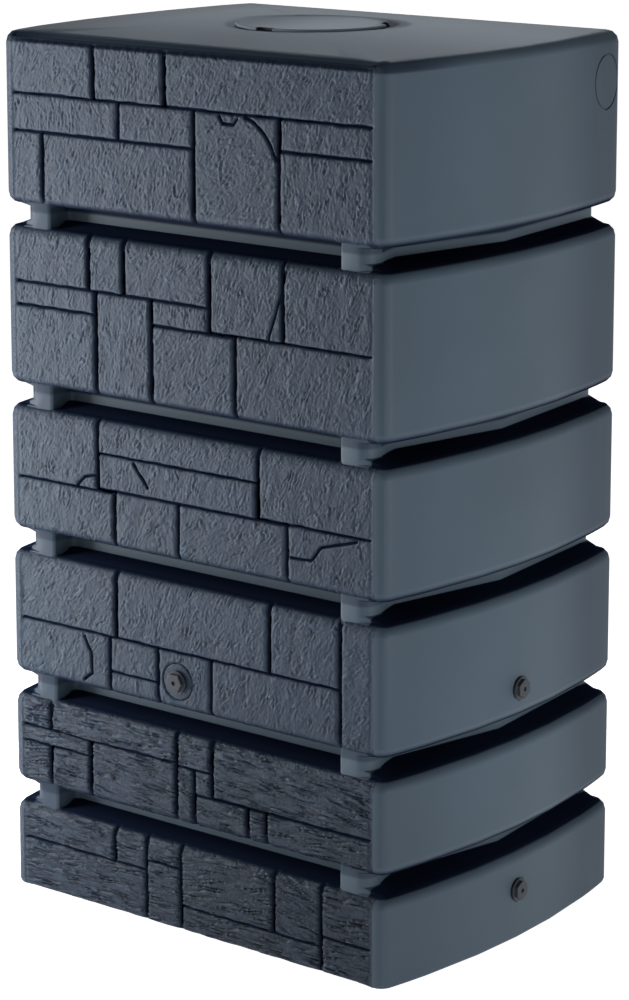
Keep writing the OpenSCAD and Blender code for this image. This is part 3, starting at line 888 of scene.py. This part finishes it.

# %% [markdown]
# ## The stones' finish
#
# The stones are the same plastic, but the mould gives them a rough skin. Crests get a painted
# highlight, because they catch the light, and hollows a painted shade. The joints and the grooves'
# edges get a painted shade that goes to nearly black. In the two lowest panels thin dark lines run
# level through the stone: they are where a stretched noise crosses its middle value. Towards the
# ground the stones get a painted shade, least at the lit left end.

# %% Finish the stones
STONE_GRAIN = 0.9 * MM
CREST_AT = (0.2, 0.7)
HOLLOW_AT = (-0.12, -0.6)
JOINT_AT = (0.1, 0.7)
LAYERED_BELOW = mm(295, 290)
VEIN_WIDTH = (0.03, 0.007)
# Heights and places between which the stones' painted shade towards the ground grows
DIM_BELOW = mm(450, 50)
DIM_ACROSS = mm(-300, 50)

stone = moulded("stone_plastic", STONE, PLASTIC_DARK, 0.5, STONE_SHINE)
layered = stone.ease(stone.axis("Z"), *LAYERED_BELOW)
veins = abs(stone.noise(130, 3, (0.22, 0.22, 1)) - 0.5)
veins = stone.ease(veins, *VEIN_WIDTH) * layered
stone.bump(stone.noise(330, 4) - veins * 0.9, 0.8, STONE_GRAIN)
cleft = stone.attribute("cleft")
# Painted highlight on the cleft's crests and painted shade in its hollows
crests = stone.ease(cleft, *CREST_AT) * (0.45 - layered * 0.25)
hollows = stone.ease(cleft, *HOLLOW_AT) * 0.75
# Painted shade: the stones get darker towards the ground, least at the lit left end
dim = stone.ease(stone.axis("Z"), *DIM_BELOW)
dim = dim * stone.ease(stone.axis("X"), *DIM_ACROSS, 0.3, 1.0) * 0.45
tones = ((crests, CREST), (hollows, PLASTIC_DARK), (veins * 0.9, NIGHT), (dim, PLASTIC_DARK))
for share, tone in tones:
    stone.colour = stone.mix(share, stone.colour, tone)
stone.feed("Base Color", stone.colour)
# Painted shade: the joints, the cracks and the groove round the port pad go nearly black, as little
# light gets in
joint = stone.ease(stone.attribute("hollow"), *JOINT_AT) * 0.97
stone.cover(joint.join("MAXIMUM", joint, gloom(stone)), NIGHT)
for panel_mesh in panel_meshes:
    add_piece(panel_mesh.name, panel_mesh, "tank", "body_plastic", stone)
print(f"{len(panel_meshes)} panels finished")

# %% [markdown]
# ## Finishes of the small parts
#
# The lid and the plugs are moulded in the same satin plastic or a darker one, the seal and the
# washers are soft black rubber, and the inserts are turned brass. The lid's rim is lighter,
# because it catches the light. Its left half and the hollow behind its rim lie in the shade.

# %% Mix the small parts' finishes
LID_RIM = mm(100, 101.5)
LID_HOLLOW = mm(84, 97)
LID_BACK = mm(0, 60)
LID_LEFT = mm(60, -90)

lid_finish = moulded("lid_plastic", shade(60, 73, 86), PLASTIC_DARK, 0.42)
lid_x, lid_y = lid_finish.axis("X"), lid_finish.axis("Y") - MID_Y
radius = (lid_y * lid_y + lid_x * lid_x).root()
rim = lid_finish.ease(radius, *LID_RIM)
lid_finish.feed("Base Color", lid_finish.mix(rim, lid_finish.colour, shade(150, 162, 174)))
dusk = lid_finish.ease(lid_x, *LID_LEFT) * 0.35
hollow = lid_finish.ease(radius, *LID_HOLLOW) * lid_finish.ease(lid_y, *LID_BACK) * 0.45
lid_finish.cover((dusk + hollow) * (1 - rim), NIGHT)
plug_finish = moulded("plug_plastic", shade(52, 56, 62), PLASTIC_DARK, 0.4)
plug_finish.feed("Base Color", plug_finish.colour)
rubber = moulded("soft_rubber", shade(26, 26, 28), shade(12, 12, 13), 0.75)
rubber.feed("Base Color", rubber.colour)
for finish in (lid_finish, plug_finish, rubber):
    pebble(finish)
brass = Finish("turned_brass", 0.3, metallic=1.0)
brass.feed("Base Color", brass.mix(brass.noise(60, 3), shade(196, 164, 96), shade(160, 128, 70)))
print("small finishes mixed")

# %% [markdown]
# ## Lid, plugs and small parts
#
# The solids of the lid and the plugs are exact, so merged copies only get smooth shading and a
# small rounding along their edges, which catches the light as a real moulded edge does. The
# inserts, washers and seal are hardly seen, so they keep their CAD mesh and get a finish.

# %% Dress the lid and the plugs
SHARP_ABOVE = math.radians(40)
LID_EDGE = 1.0 * MM
PLUG_EDGE = 0.5 * MM


def is_sharp(edge):
    return len(edge.link_faces) == 2 and edge.calc_face_angle(0) > SHARP_ABOVE


def eased_copy(node, name, body, slot, finish, width):
    """A copy of a CAD node with its sharp edges rounded by a width."""
    bm = merged(node)
    bmesh.ops.bevel(
        bm, geom=[edge for edge in bm.edges if is_sharp(edge)], offset=width, affect="EDGES",
        segments=2, profile=0.5, material=-1, clamp_overlap=True,
    )
    smooth(bm)
    mesh = bpy.data.meshes.new(name)
    bm.to_mesh(mesh)
    bm.free()
    piece = add_piece(name, mesh, body, slot, finish)
    weigh_normals(piece)
    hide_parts(node)
    return piece


def refinish(node, finish):
    """Gives a CAD node's own mesh a better material."""
    materials = nodes[node].data.materials
    materials.clear()
    materials.append(finish.material)


eased_copy("lid", "moulded_lid", "lid", "lid_plastic", lid_finish, LID_EDGE)
PORTS = [name[: -len("_plug")] for name in nodes if name.endswith("_plug")]
for port in PORTS:
    eased_copy(f"{port}_plug", f"{port}_hex_plug", "tank", "plug_plastic", plug_finish, PLUG_EDGE)
    refinish(f"{port}_insert", brass)
    refinish(f"{port}_washer", rubber)
refinish("lid_seal", rubber)
print(f"{len(PORTS)} ports dressed")
